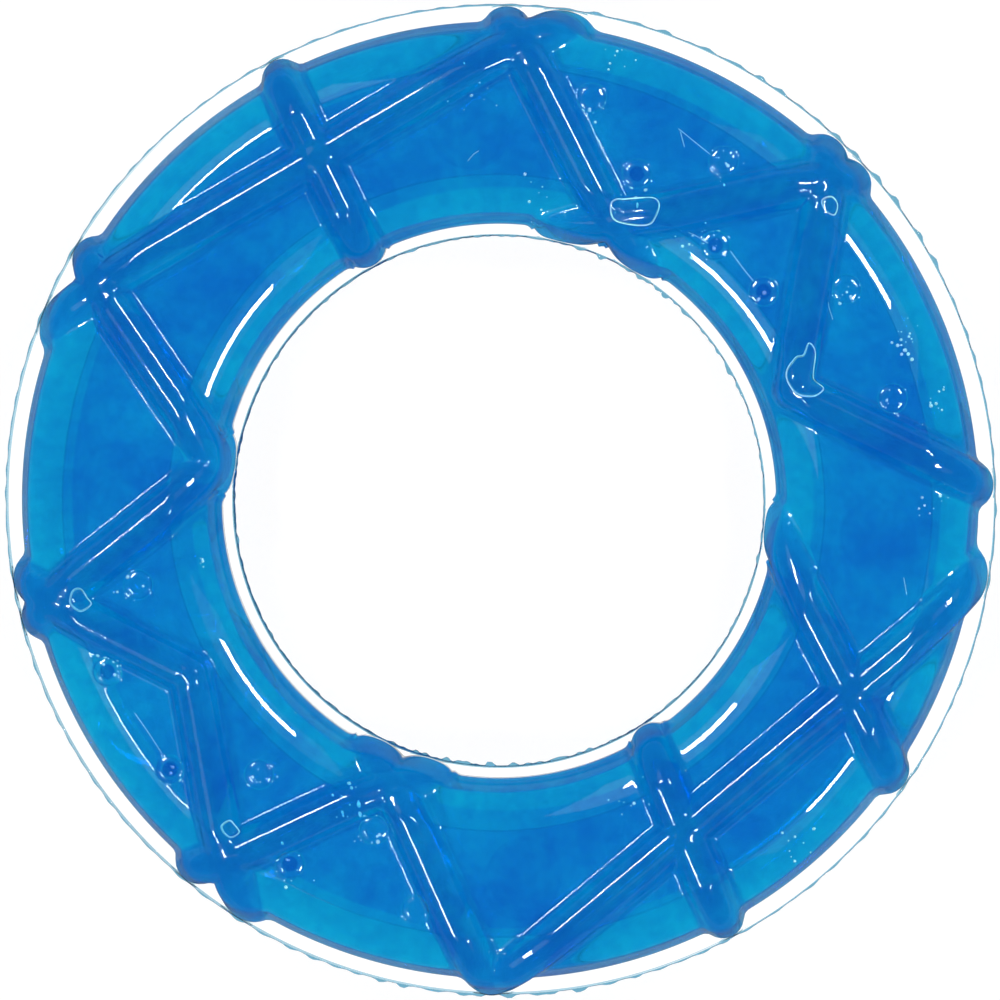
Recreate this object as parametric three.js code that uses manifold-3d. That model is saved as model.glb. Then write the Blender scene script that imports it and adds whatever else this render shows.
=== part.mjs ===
// A freezable cooling chew ring for a dog: two clear soft plastic half shells, welded together
// along a flange at the outer rim and another at the hole, hold a blue liquid.
// Lengths are in millimetres, +Z is up, and the ring rests with its lowest ribs on z = 0.

import * as THREE from 'three';
import { mergeVertices } from 'three/addons/utils/BufferGeometryUtils.js';
import Module from 'manifold-3d';

const wasm = await Module();
wasm.setup();

// Ring
const ringDiameter = 150;
const holeDiameter = 80;
const roundSteps = 36;

// Section of one shell, with heights measured from the weld plane
const outerFlangeWidth = 2.65;
const innerFlangeWidth = 1.9;
const flangeThickness = 0.9;
const panelHeight = 9.2;
const wallHeight = 6.6;
const wallDraft = 1.6;
const wallFoot = 0.1;
const shoulderWidth = 7.3;
const wallThickness = 1;

// Weld between the flanges, and the bead squeezed out past their edges
const seamThickness = 0.5;
const beadStep = 0.25;

// Liquid
const fluidClearance = 0.4;

// Rib net: the height on the panel, and the heights on the steep walls, where ribs end as lobes
const ribWidth = 8.2;
const ribHeight = 2.6;
const outerLobeHeight = 2.3;
const innerLobeHeight = 1.6;
const ribRoot = 1;
const ribFlankShare = 0.8;
const elbowDepth = 4;
const elbowSteps = 8;

// Small pips on the panels
const pipDiameter = 4.2;
const pipHeight = 0.5;
const pipSteps = 6;

// Share of the shoulder's width and share of its drop, from the panel's edge out to the wall,
// for the outside of the shell and, with fewer steps, for the hollow and the liquid inside it
const outerShoulder = [[0, 0], [0.68, 0.42], [1, 1]];
const innerShoulder = [[0, 0], [1, 0.85]];

// Share of the half width and share of the height, across a rib: its outside with a flat crest,
// and the hollow inside it, which runs to a ridge
const outerRib = [[-1, -0.2], [-0.35, 1], [0.35, 1], [1, -0.2]];
const innerRib = [[-1, -0.2], [0, 1], [1, -0.2]];

// Elbows on the panel, as an angle in degrees and a share of the way from the inner wall out
const elbows = {
  left: [209.4, 0.35],
  right: [20.9, 0.175],
};

// Ribs run straight from one end to the other, and an end is an angle on a rim or an elbow
const ribs = [
  ['outer', 157.5, 'outer', 82.5],
  ['outer', 117.1, 'inner', 117.9],
  ['outer', 149.2, 'inner', 173],
  ['inner', 171.4, 'outer', 194.2],
  ['outer', 189.7, 'elbow', 'left'],
  ['elbow', 'left', 'outer', 237.7],
  ['outer', 230.3, 'inner', 254.6],
  ['inner', 244.6, 'outer', 268.9],
  ['outer', 269.6, 'outer', 350.7],
  ['inner', 302.5, 'outer', 298.4],
  ['inner', 354, 'outer', 325.4],
  ['outer', 2.2, 'elbow', 'right'],
  ['outer', 46.5, 'elbow', 'right'],
  ['outer', 42.5, 'inner', 76.2],
  ['outer', 88.9, 'inner', 60.2],
];

// Pips, as an angle in degrees and a share of the way from the inner wall out
const pips = [
  [76.7, 0.669], [66.8, 0.385], [56.4, 0.643], [49.6, 0.289], [38.4, 0.303], [31.5, 0.641],
  [14.9, 0.636], [192.9, 0.438], [203.5, 0.719], [219.3, 0.705], [228.9, 0.404], [240.3, 0.678],
  [249.6, 0.344], [259.0, 0.668],
];

// Sizes that follow from the ones above
const beadOuter = ringDiameter / 2;
const beadInner = holeDiameter / 2;
const flangeOuter = beadOuter - beadStep;
const flangeInner = beadInner + beadStep;
const bodyOuter = beadOuter - outerFlangeWidth;
const bodyInner = beadInner + innerFlangeWidth;
const seamHalf = seamThickness / 2;
const flangeTop = seamHalf + flangeThickness;
const halfThickness = panelHeight + ribHeight;
const fluidInset = wallThickness + fluidClearance;
const wallLean = wallDraft / (wallHeight - flangeTop);

// Turn a closed three.js geometry into a solid, with its faces pointing out
function solidFrom(geometry) {
  const bare = geometry.index ? geometry.toNonIndexed() : geometry.clone();
  for (const name of Object.keys(bare.attributes)) {
    if (name !== 'position') bare.deleteAttribute(name);
  }
  const merged = mergeVertices(bare, 1e-4);
  const spots = merged.attributes.position;
  const index = Array.from(merged.index.array);
  const corners = [];
  const a = new THREE.Vector3();
  const b = new THREE.Vector3();
  const c = new THREE.Vector3();
  let volume = 0;
  for (let i = 0; i < index.length; i += 3) {
    const [p, q, r] = [index[i], index[i + 1], index[i + 2]];
    if (p === q || q === r || r === p) continue;
    a.fromBufferAttribute(spots, p);
    b.fromBufferAttribute(spots, q);
    c.fromBufferAttribute(spots, r);
    volume += a.dot(b.cross(c));
    corners.push([p, q, r]);
  }
  const ordered = volume > 0 ? corners : corners.map(([p, q, r]) => [p, r, q]);
  return new wasm.Manifold(new wasm.Mesh({
    numProp: 3,
    vertProperties: Float32Array.from(spots.array),
    triVerts: Uint32Array.from(ordered.flat()),
  }));
}

// Turn a solid back into a geometry, mirrored through the weld plane where asked
function geometryFrom(solid, mirrored) {
  const mesh = solid.getMesh();
  const spots = Float32Array.from(mesh.vertProperties);
  const index = Uint32Array.from(mesh.triVerts);
  const sign = mirrored ? -1 : 1;
  for (let i = 2; i < spots.length; i += 3) spots[i] = sign * spots[i];
  if (mirrored) {
    for (let i = 0; i < index.length; i += 3) {
      [index[i + 1], index[i + 2]] = [index[i + 2], index[i + 1]];
    }
  }
  const geometry = new THREE.BufferGeometry();
  geometry.setAttribute('position', new THREE.BufferAttribute(spots, 3));
  geometry.setIndex(new THREE.BufferAttribute(index, 1));
  geometry.computeVertexNormals();
  return geometry;
}

// A closed outline of [radius, height] points, turned about the ring's axis
function turned(outline, steps) {
  const points = outline.map(([r, z]) => new THREE.Vector2(r, z));
  const geometry = new THREE.LatheGeometry(points, steps);
  geometry.rotateX(Math.PI / 2);
  return geometry;
}

function plan(radius, degrees) {
  const angle = THREE.MathUtils.degToRad(degrees);
  return new THREE.Vector2(radius * Math.cos(angle), radius * Math.sin(angle));
}

function acrossBody(share) {
  return bodyInner + share * (bodyOuter - bodyInner);
}

// Skin of the body from the foot of the leaning wall up to the panel's edge. Each stop has its
// distance inside the line where the wall meets the flange, its height, and the direction in
// which the skin is offset there.
function skinStops(inset, foot) {
  const drop = panelHeight - wallHeight;
  const shoulder = inset > 0 ? innerShoulder : outerShoulder;
  const round = shoulderWidth - wallDraft;
  const curve = shoulder.map(([w, d]) => [shoulderWidth - round * w, panelHeight - drop * d]);
  const spots = [[wallLean * (foot - flangeTop), foot], ...curve.reverse()];
  const faces = [];
  for (let i = 0; i + 1 < spots.length; i += 1) {
    const run = spots[i + 1][0] - spots[i][0];
    const rise = spots[i + 1][1] - spots[i][1];
    const length = Math.hypot(run, rise);
    faces.push([rise / length, run / length]);
  }
  faces.push([0, 1]);
  return spots.map(([inside, height], i) => {
    const before = faces[Math.max(i - 1, 0)];
    const after = faces[i];
    const mitre = 1 + before[0] * after[0] + before[1] * after[1];
    const out = (before[0] + after[0]) / mitre;
    const up = (before[1] + after[1]) / mitre;
    return { inside, height, out, up };
  });
}

// The body without ribs, with its skin moved in by an inset and its foot at a given height
function bodySolid(inset, foot) {
  const stops = skinStops(inset, foot);
  const side = stops.map((s) => [s.inside + s.out * inset, s.height - s.up * inset]);
  side[0][1] = foot;
  const inner = side.map(([d, z]) => [bodyInner + d, z]);
  const outer = side.map(([d, z]) => [bodyOuter - d, z]).reverse();
  return solidFrom(turned([...inner, ...outer, inner[0]], roundSteps));
}

function ribHalfWidth(inset) {
  return ribWidth / 2 - ribFlankShare * inset;
}

// Lift of an elbow's root from the panel, deep enough to reach into the shoulder beside it
function elbowRoot(inset) {
  return inset - wallThickness - elbowDepth;
}

function lobeHeight(kind) {
  return kind === 'outer' ? outerLobeHeight : innerLobeHeight;
}

function ribEnd(kind, where) {
  if (kind === 'elbow') return plan(acrossBody(elbows[where][1]), elbows[where][0]);
  const reach = lobeHeight(kind) / 2;
  return plan(kind === 'outer' ? bodyOuter + reach : bodyInner - reach, where);
}

// Distance along a line at which it enters or leaves a circle about the ring's axis
function crossing(start, direction, radius, entering) {
  const along = -start.dot(direction);
  const nearest = start.clone().addScaledVector(direction, along);
  const half = Math.sqrt(Math.max(radius * radius - nearest.lengthSq(), 0));
  return entering ? along - half : along + half;
}

// One rib draped over the body: a strip of points on its top and the same under its root
function ribSolid([startKind, startAt, endKind, endAt], inset, foot) {
  const start = ribEnd(startKind, startAt);
  const end = ribEnd(endKind, endAt);
  const direction = end.clone().sub(start).normalize();
  const sideways = new THREE.Vector2(-direction.y, direction.x);
  const ribCurve = inset > 0 ? innerRib : outerRib;
  const stops = skinStops(inset, foot);
  const last = stops.length - 1;
  const climb = stops.map((stop, k) => ({ k, stop, kind: startKind, atStart: true }));
  const descent = stops.map((stop, k) => ({ k, stop, kind: endKind, atStart: false })).reverse();
  const flat = { inside: 0, height: panelHeight, out: 0, up: 1 };
  const first = startKind === 'elbow' ? [{ k: last, stop: flat, at: 0 }] : climb;
  const final = endKind === 'elbow' ? [{ k: last, stop: flat, at: end.distanceTo(start) }] : descent;
  const path = [...first, ...final];
  const halfWidth = ribHalfWidth(inset);

  function spot(step, across, lift) {
    const { stop, kind, atStart } = step;
    const line = start.clone().addScaledVector(sideways, across * halfWidth);
    const isFoot = step.k === 0;
    let along = step.at;
    if (along === undefined) {
      const reach = stop.out * lift - stop.inside;
      const radius = kind === 'outer' ? bodyOuter + reach : bodyInner - reach;
      along = crossing(line, direction, radius, (kind === 'outer') === atStart);
    }
    const p = line.addScaledVector(direction, along);
    const height = isFoot ? foot : stop.height + stop.up * lift;
    return [p.x, p.y, height];
  }

  const tops = [];
  const roots = [];
  for (const step of path) {
    const height = THREE.MathUtils.lerp(lobeHeight(step.kind), ribHeight, step.k / last);
    tops.push(ribCurve.map(([across, share]) => spot(step, across, height * share - inset)));
    const depth = step.at === undefined ? -ribRoot - inset : elbowRoot(inset);
    roots.push(ribCurve.map(([across]) => spot(step, across, depth)));
  }

  const faces = [];
  const quad = (a, b, c, d) => faces.push(...a, ...b, ...c, ...a, ...c, ...d);
  const edge = ribCurve.length - 1;
  const stopCount = path.length - 1;
  for (let i = 0; i < stopCount; i += 1) {
    for (let j = 0; j < edge; j += 1) {
      quad(tops[i][j], tops[i + 1][j], tops[i + 1][j + 1], tops[i][j + 1]);
      quad(roots[i][j], roots[i][j + 1], roots[i + 1][j + 1], roots[i + 1][j]);
    }
    quad(tops[i][0], roots[i][0], roots[i + 1][0], tops[i + 1][0]);
    quad(tops[i][edge], tops[i + 1][edge], roots[i + 1][edge], roots[i][edge]);
  }
  for (let j = 0; j < edge; j += 1) {
    quad(tops[0][j], tops[0][j + 1], roots[0][j + 1], roots[0][j]);
    quad(tops[stopCount][j], roots[stopCount][j], roots[stopCount][j + 1], tops[stopCount][j + 1]);
  }
  const geometry = new THREE.BufferGeometry();
  geometry.setAttribute('position', new THREE.Float32BufferAttribute(faces, 3));
  return solidFrom(geometry);
}

// The rounded head where two ribs meet in an elbow
function elbowSolid([degrees, share], inset) {
  const halfWidth = ribHalfWidth(inset);
  const root = panelHeight + elbowRoot(inset);
  const ribCurve = inset > 0 ? innerRib : outerRib;
  const side = ribCurve.filter(([across]) => across > 0);
  const outline = side.map(([across, up]) => [
    across * halfWidth,
    panelHeight + ribHeight * up - inset,
  ]);
  const crest = panelHeight + ribHeight - inset;
  const geometry = turned([[0, crest], ...outline, [halfWidth, root], [0, root]], elbowSteps);
  const centre = plan(acrossBody(share), degrees);
  geometry.translate(centre.x, centre.y, 0);
  return solidFrom(geometry);
}

function pipSolid([degrees, share]) {
  const radius = pipDiameter / 2;
  const root = panelHeight - wallThickness / 2;
  const outline = [
    [0, panelHeight + pipHeight],
    [radius * 0.6, panelHeight + pipHeight],
    [radius, panelHeight],
    [radius, root],
    [0, root],
  ];
  const geometry = turned(outline, pipSteps);
  const centre = plan(acrossBody(share), degrees);
  geometry.translate(centre.x, centre.y, 0);
  return solidFrom(geometry);
}

// Body and rib net together, with the whole skin moved in by an inset
function ribbedSolid(inset, foot) {
  let solid = bodySolid(inset, foot);
  for (const rib of ribs) solid = solid.add(ribSolid(rib, inset, foot));
  for (const elbow of Object.values(elbows)) solid = solid.add(elbowSolid(elbow, inset));
  return solid;
}

function plate(inner, outer, bottom, top) {
  const outline = [[inner, bottom], [outer, bottom], [outer, top], [inner, top], [inner, bottom]];
  return solidFrom(turned(outline, roundSteps));
}

// The hollow reaches past the weld plane, so that it opens each shell on its flange side
const below = -2 * seamThickness;
const hollow = ribbedSolid(wallThickness, below);

function shellSolid() {
  let solid = ribbedSolid(0, seamHalf + wallFoot);
  solid = solid.add(plate(flangeInner, flangeOuter, seamHalf, flangeTop));
  for (const pip of pips) solid = solid.add(pipSolid(pip));
  return solid.subtract(hollow);
}

// The liquid is an upper half that stands on the weld plane, without its flat underside, and the
// mirror image of the same faces, which meet it there
function fluidGeometry() {
  const half = geometryFrom(ribbedSolid(fluidInset, 0), false).toNonIndexed();
  const spots = half.attributes.position;
  const faces = [];
  for (let i = 0; i < spots.count; i += 3) {
    const corners = [0, 1, 2].map((k) => new THREE.Vector3().fromBufferAttribute(spots, i + k));
    if (corners.every((corner) => Math.abs(corner.z) < 1e-4)) continue;
    const [a, b, c] = corners;
    faces.push(a.x, a.y, a.z, b.x, b.y, b.z, c.x, c.y, c.z);
    faces.push(a.x, a.y, -a.z, c.x, c.y, -c.z, b.x, b.y, -b.z);
  }
  const geometry = new THREE.BufferGeometry();
  geometry.setAttribute('position', new THREE.Float32BufferAttribute(faces, 3));
  return geometryFrom(solidFrom(geometry), false);
}

function seamSolid(inner, outer) {
  return plate(inner, outer, -seamHalf, seamHalf).subtract(hollow);
}

const clearPlastic = { color: 0xe3f1f6, roughness: 0.14, metalness: 0 };
const weldPlastic = { color: 0xf2f7f8, roughness: 0.3, metalness: 0 };
const blueLiquid = { color: 0x0f76c3, roughness: 0.05, metalness: 0 };

function piece(name, geometry, look) {
  const mesh = new THREE.Mesh(geometry, new THREE.MeshStandardMaterial(look));
  mesh.name = name;
  mesh.position.z = halfThickness;
  return mesh;
}

const shell = shellSolid();
const ring = new THREE.Group();
ring.name = 'cooling_chew_ring';
ring.add(piece('upper_shell', geometryFrom(shell, false), clearPlastic));
ring.add(piece('lower_shell', geometryFrom(shell, true), clearPlastic));
ring.add(piece('cooling_fluid', fluidGeometry(), blueLiquid));
ring.add(piece(
  'outer_weld_seam',
  geometryFrom(seamSolid(bodyOuter - wallThickness, beadOuter), false),
  weldPlastic,
));
ring.add(piece(
  'inner_weld_seam',
  geometryFrom(seamSolid(beadInner, bodyInner + wallThickness), false),
  weldPlastic,
));

export default ring;
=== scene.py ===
# %% [markdown]
# # A cooling chew ring, dressed over its CAD frame
# The real toy is two clear, soft half shells, welded together at the outer rim and at the hole,
# with a blue liquid inside. A net of hollow ribs is moulded into each shell, and the ribs end as
# round lobes that hang over the weld flange. The CAD frame has the same pieces with few faces.
# This script loads that frame and replaces each node with a finer mesh in the same place.

# %% Load the frame
import math

import bpy
import mathutils
import numpy as np
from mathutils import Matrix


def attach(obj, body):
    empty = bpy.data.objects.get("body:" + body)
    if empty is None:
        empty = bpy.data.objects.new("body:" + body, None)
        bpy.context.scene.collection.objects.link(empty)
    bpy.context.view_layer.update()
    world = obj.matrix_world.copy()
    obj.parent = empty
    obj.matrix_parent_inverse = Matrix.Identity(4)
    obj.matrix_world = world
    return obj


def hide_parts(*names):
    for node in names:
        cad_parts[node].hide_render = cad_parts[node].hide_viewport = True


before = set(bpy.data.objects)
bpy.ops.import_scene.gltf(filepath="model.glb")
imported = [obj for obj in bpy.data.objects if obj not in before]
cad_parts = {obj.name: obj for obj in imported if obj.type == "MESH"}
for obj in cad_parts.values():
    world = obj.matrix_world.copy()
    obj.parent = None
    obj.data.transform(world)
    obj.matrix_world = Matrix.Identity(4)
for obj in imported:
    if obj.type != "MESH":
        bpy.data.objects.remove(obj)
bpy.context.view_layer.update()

# %% [markdown]
# ## Sizes
# The sizes are those of the CAD frame, in millimetres, because moulded parts are drawn that way.
# They become metres only when a mesh is made. Heights count from the weld plane, halfway up.
# Only the wall is thinner than in the frame, and the liquid fills the room that this leaves, so
# that the blue reaches the edges of the ribs.

# %% Sizes
MM = 0.001
FULL_TURN = 2 * math.pi
BEAD_OUTER, BEAD_INNER = 75.0, 40.0
FLANGE_OUTER, FLANGE_INNER = 74.75, 40.25
BODY_OUTER, BODY_INNER = 72.35, 41.9
SEAM_HALF, FLANGE_TOP = 0.25, 1.15
PANEL_HEIGHT, SHOULDER_WIDTH = 9.2, 7.3
WALL_TOP = (1.6, 6.6)
RIB_HEIGHT, OUTER_LOBE, INNER_LOBE = 2.6, 2.3, 1.6
WALL = 0.45
FLUID_INSET = 0.6
WELD_Z = PANEL_HEIGHT + RIB_HEIGHT
CAMERA_HEIGHT, CAMERA_SIDE, VIEW_WIDTH = 900.0, (46.0, 34.0), 151.24
print("weld plane at", round(WELD_Z, 1), "mm above the floor")

# %% [markdown]
# ## The section of the body
# Cut across, the body is a steep wall, a round shoulder and a flat panel, the same on both sides.
# A turned profile could be drawn by hand with points, but a Bezier curve for the shoulder keeps
# it smooth at any number of rows. Each row also keeps the direction that the skin faces, because
# ribs are raised along it, and the inside of the wall is the same skin moved in along it.

# %% The section as a curve
SHOULDER_PULL = ((2.05, 7.57), (5.1, 8.73))
FOOT_BELOW, FOOT_STEP = -0.5, 0.05
WALL_POINTS, SHOULDER_POINTS, PANEL_POINTS = 120, 160, 400
EVEN_STEP = 0.02
EASE = np.hanning(27) / np.hanning(27).sum()

def bezier(corners, t):
    a, b, c, d = (np.array(corner) for corner in corners)
    return a * (1 - t) ** 3 + 3 * b * t * (1 - t) ** 2 + 3 * c * t * t * (1 - t) + d * t ** 3

def one_side():
    side = [(0.0, z) for z in np.arange(FOOT_BELOW, FLANGE_TOP, FOOT_STEP)]
    for t in np.linspace(0.0, 1.0, WALL_POINTS, endpoint=False):
        side.append((WALL_TOP[0] * t, FLANGE_TOP + (WALL_TOP[1] - FLANGE_TOP) * t))
    corners = (WALL_TOP, *SHOULDER_PULL, (SHOULDER_WIDTH, PANEL_HEIGHT))
    for t in np.linspace(0.0, 1.0, SHOULDER_POINTS):
        side.append(tuple(bezier(corners, t)))
    return np.array(side)

def eased(values):
    return np.convolve(np.pad(values, len(EASE) // 2, mode="edge"), EASE, mode="valid")

def section_curve():
    side = one_side()
    width = BODY_OUTER - BODY_INNER
    panel_x = np.linspace(SHOULDER_WIDTH, width - SHOULDER_WIDTH, PANEL_POINTS)[1:-1]
    panel = np.stack([panel_x, np.full(len(panel_x), PANEL_HEIGHT)], axis=1)
    far = np.stack([width - side[::-1, 0], side[::-1, 1]], axis=1)
    spots = np.concatenate([side, panel, far])
    along = np.concatenate([[0], np.cumsum(np.hypot(*np.diff(spots, axis=0).T))])
    even = np.arange(0, along[-1], EVEN_STEP)
    x = np.interp(even, along, spots[:, 0])
    z = np.interp(even, along, spots[:, 1])
    out = eased(-np.gradient(z, even))
    up = eased(np.gradient(x, even))
    size = np.hypot(out, up)
    depth = np.clip(np.minimum(x, width - x) / SHOULDER_WIDTH, 0, 1)
    lobe = np.where(x < width / 2, INNER_LOBE, OUTER_LOBE)
    rib = lobe + (RIB_HEIGHT - lobe) * depth
    return {"s": even, "r": BODY_INNER + x, "z": z, "out": out / size, "up": up / size, "rib": rib}

SECTION = section_curve()
print("section length", round(SECTION["s"][-1], 1), "mm")

# %% [markdown]
# ## Rows of the section
# A mesh needs rows at chosen places along the curve. The round shoulder gets many of them, the
# straight wall only a few. The inner half is divided, and the outer half mirrors it.

# %% Rows along the section
SKIN_ROWS, HOLLOW_ROWS, FLUID_ROWS = (7, 20, 38), (6, 14, 30), (5, 14, 34)

def section_rows(foot, wall_rows, shoulder_rows, panel_rows):
    half = len(SECTION["s"]) // 2
    s, z, r = (SECTION[key][:half] for key in ("s", "z", "r"))
    rising = r < BODY_INNER + SHOULDER_WIDTH - 0.1
    start, top = np.interp([foot, WALL_TOP[1]], z[rising], s[rising])
    edge = np.interp(BODY_INNER + SHOULDER_WIDTH, r, s)
    end = SECTION["s"][-1]
    wall = np.linspace(start, top, wall_rows, endpoint=False)
    shoulder = np.linspace(top, edge, shoulder_rows, endpoint=False)
    panel = np.linspace(edge, end - edge, panel_rows)
    return np.concatenate([wall, shoulder, panel, end - shoulder[::-1], end - wall[::-1]])

print("rows in the skin", len(section_rows(FLANGE_TOP, *SKIN_ROWS)))

# %% [markdown]
# ## The rib net
# Each rib runs straight from one rim to another, or to an elbow where two ribs meet on the panel.
# Sweeping a profile along each line and joining the sweeps would leave hard seams where ribs
# cross. Here the net is a height field: the height of a point follows from its distance to each
# line, through a profile with a round crest, a straight flank and a fillet at its foot.

# %% Rib lines
def plan(radius, degrees):
    turn = math.radians(degrees)
    return np.array([radius * math.cos(turn), radius * math.sin(turn)])

def across_body(share):
    return BODY_INNER + share * (BODY_OUTER - BODY_INNER)

ELBOW_LEFT = plan(across_body(0.35), 209.4)
ELBOW_RIGHT = plan(across_body(0.175), 20.9)
ELBOWS = (tuple(ELBOW_LEFT), tuple(ELBOW_RIGHT))
OUT, IN = BODY_OUTER + OUTER_LOBE / 2, BODY_INNER - INNER_LOBE / 2
RIBS = [
    (plan(OUT, 157.5), plan(OUT, 82.5)),
    (plan(OUT, 117.1), plan(IN, 117.9)),
    (plan(OUT, 149.2), plan(IN, 173.0)),
    (plan(IN, 171.4), plan(OUT, 194.2)),
    (plan(OUT, 189.7), ELBOW_LEFT),
    (ELBOW_LEFT, plan(OUT, 237.7)),
    (plan(OUT, 230.3), plan(IN, 254.6)),
    (plan(IN, 244.6), plan(OUT, 268.9)),
    (plan(OUT, 269.6), plan(OUT, 350.7)),
    (plan(IN, 302.5), plan(OUT, 298.4)),
    (plan(IN, 354.0), plan(OUT, 325.4)),
    (plan(OUT, 2.2), ELBOW_RIGHT),
    (plan(OUT, 46.5), ELBOW_RIGHT),
    (plan(OUT, 42.5), plan(IN, 76.2)),
    (plan(OUT, 88.9), plan(IN, 60.2)),
]
print("ribs", len(RIBS))

# %% Rib profile
CREST_RADIUS, FOOT_RADIUS, FLANK = 3.3, 1.5, math.radians(58)
INSET_SHARE = 0.85
LEAST_FLANK = 0.05

def rib_profile(distance, height, inset):
    crest = CREST_RADIUS - inset * INSET_SHARE
    foot = FOOT_RADIUS + inset * INSET_SHARE
    top_x = crest * math.sin(FLANK)
    foot_x = foot * math.sin(FLANK)
    round_drop = (crest + foot) * (1 - math.cos(FLANK))
    flank_x = np.maximum(height - round_drop, LEAST_FLANK) / math.tan(FLANK)
    edge = top_x + flank_x + foot_x
    on_crest = height - crest + np.sqrt(np.maximum(crest ** 2 - distance ** 2, 0))
    on_flank = height - crest * (1 - math.cos(FLANK)) - (distance - top_x) * math.tan(FLANK)
    on_foot = foot - np.sqrt(np.maximum(foot ** 2 - (edge - distance) ** 2, 0))
    lift = np.where(distance < top_x, on_crest, on_flank)
    lift = np.where(distance > top_x + flank_x, on_foot, lift)
    return np.where(distance > edge, 0.0, np.maximum(lift, 0.0))

reach = np.linspace(0, 8, 801)
foot_reach = reach[rib_profile(reach, RIB_HEIGHT, 0.0) > 0][-1]
print("a rib is", round(2 * foot_reach, 1), "mm wide at its foot")

# %% [markdown]
# Ribs run on past the rims, so that their lobes are cut off by the section and not by an end.
# Where two ribs cross, the higher one counts, with a small soft blend in the corner between them.

# %% Height of the net
RUN_ON_OUTER, RUN_ON_INNER, MIDDLE_RADIUS = 9.0, 2.2, 60.0
CROSSING_BLEND = 0.9

def past_end(end):
    if tuple(end) in ELBOWS:
        return 0.0
    return RUN_ON_OUTER if np.linalg.norm(end) > MIDDLE_RADIUS else RUN_ON_INNER

def rib_lift(x, y, height, inset):
    lift = np.zeros_like(x)
    for start, end in RIBS:
        run = end - start
        length = np.linalg.norm(run)
        run = run / length
        along = (x - start[0]) * run[0] + (y - start[1]) * run[1]
        along = np.clip(along, -past_end(start), length + past_end(end))
        distance = np.hypot(x - start[0] - along * run[0], y - start[1] - along * run[1])
        one = rib_profile(distance, height, inset)
        blend = CROSSING_BLEND * np.minimum(lift, one) / RIB_HEIGHT + 1e-6
        soft = np.maximum(1 - np.abs(lift - one) / blend, 0)
        lift = np.maximum(lift, one) + blend / 4 * soft ** 2
    return lift

elbow_lift = rib_lift(ELBOW_LEFT[:1], ELBOW_LEFT[1:], np.array([RIB_HEIGHT]), 0.0)[0]
print("the net stands", round(float(elbow_lift), 2), "mm high at the left elbow")

# %% [markdown]
# ## Rings of points
# A ring-shaped piece is easiest to build as rings of points, one ring for each row of the
# section, joined by quads. The skin of the shell, its hollow and the liquid all come from the
# same function, with a different inset, so they always fit into each other. The direction that
# the skin faces is measured over a small step both ways, which is smoother than the mesh's own.

# %% Skin rings
RIB_LEAN = 0.6
STEP_ALONG, STEP_AROUND = 0.04, 0.0006
ROW_VALUES = ("r", "z", "out", "up", "rib")

def skin_at(along, angle, inset):
    r, z, out, up, rib = (np.interp(along, SECTION["s"], SECTION[key]) for key in ROW_VALUES)
    field_r = r + RIB_LEAN * out * rib
    lift = rib_lift(field_r * np.cos(angle), field_r * np.sin(angle), rib, inset)
    ring_r, ring_z = r + out * (lift - inset), z + up * (lift - inset)
    return np.stack([ring_r * np.cos(angle), ring_r * np.sin(angle), ring_z], axis=-1), lift / rib

def skin_rings(inset, foot, around, rows):
    turns = np.linspace(0, FULL_TURN, around, endpoint=False)
    along, angle = np.meshgrid(section_rows(foot, *rows), turns, indexing="ij")
    rings, rib = skin_at(along, angle, inset)
    rings[0, :, 2], rings[-1, :, 2] = foot, foot
    across = skin_at(along + STEP_ALONG, angle, inset)[0] - skin_at(along - STEP_ALONG, angle, inset)[0]
    beside = skin_at(along, angle + STEP_AROUND, inset)[0] - skin_at(along, angle - STEP_AROUND, inset)[0]
    normal = np.cross(across, beside)
    normal /= np.linalg.norm(normal, axis=2)[:, :, None]
    return rings, normal, rib

AROUND = 720
skin, skin_normal, _ = skin_rings(0.0, FLANGE_TOP, AROUND, SKIN_ROWS)
hollow, hollow_normal, _ = skin_rings(WALL, SEAM_HALF, AROUND // 2, HOLLOW_ROWS)
print("skin", skin.shape[:2], "hollow", hollow.shape[:2], "rings and points")

# %% [markdown]
# Rings with the same number of points are joined by quads. Where one ring has twice as many, each
# step is three triangles. The faces are turned over if the closed piece would be inside out.

# %% From rings to a mesh
def fan_faces(fine, coarse, count):
    i = np.arange(count)
    f0, f1, f2 = fine + 2 * i, fine + 2 * i + 1, fine + (2 * i + 2) % (2 * count)
    c0, c1 = coarse + i, coarse + (i + 1) % count
    return np.concatenate([np.stack(t, axis=1) for t in ((f0, f1, c0), (f1, c1, c0), (f1, f2, c1))])

def ring_faces(rings):
    starts = np.cumsum([0] + [len(ring) for ring in rings])[:-1]
    quads, fans = [], []
    for k, ring in enumerate(rings):
        after = (k + 1) % len(rings)
        a, n, b, m = starts[k], len(ring), starts[after], len(rings[after])
        if n == m:
            i = np.arange(n)
            j = (i + 1) % n
            quads.append(np.stack([a + i, a + j, b + j, b + i], axis=1))
        elif n > m:
            fans.append(fan_faces(a, b, m))
        else:
            fans.append(fan_faces(b, a, n)[:, ::-1])
    points = np.concatenate(rings)
    quads = np.concatenate(quads)
    p, q, r = points[quads[:, 0]], points[quads[:, 1]], points[quads[:, 2]]
    if np.einsum("ij,ij->", p, np.cross(q, r)) < 0:
        quads = quads[:, ::-1]
        fans = [fan[:, ::-1] for fan in fans]
    faces = quads.tolist()
    for fan in fans:
        faces.extend(fan.tolist())
    return points, faces

def make_piece(name, points, faces):
    spots = np.array(points, dtype=float)
    spots[:, 2] += WELD_Z
    mesh = bpy.data.meshes.new(name)
    mesh.from_pydata((spots * MM).tolist(), [], faces)
    mesh.update()
    mesh.shade_smooth()
    piece = bpy.data.objects.new(name, mesh)
    bpy.context.scene.collection.objects.link(piece)
    return piece

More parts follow.
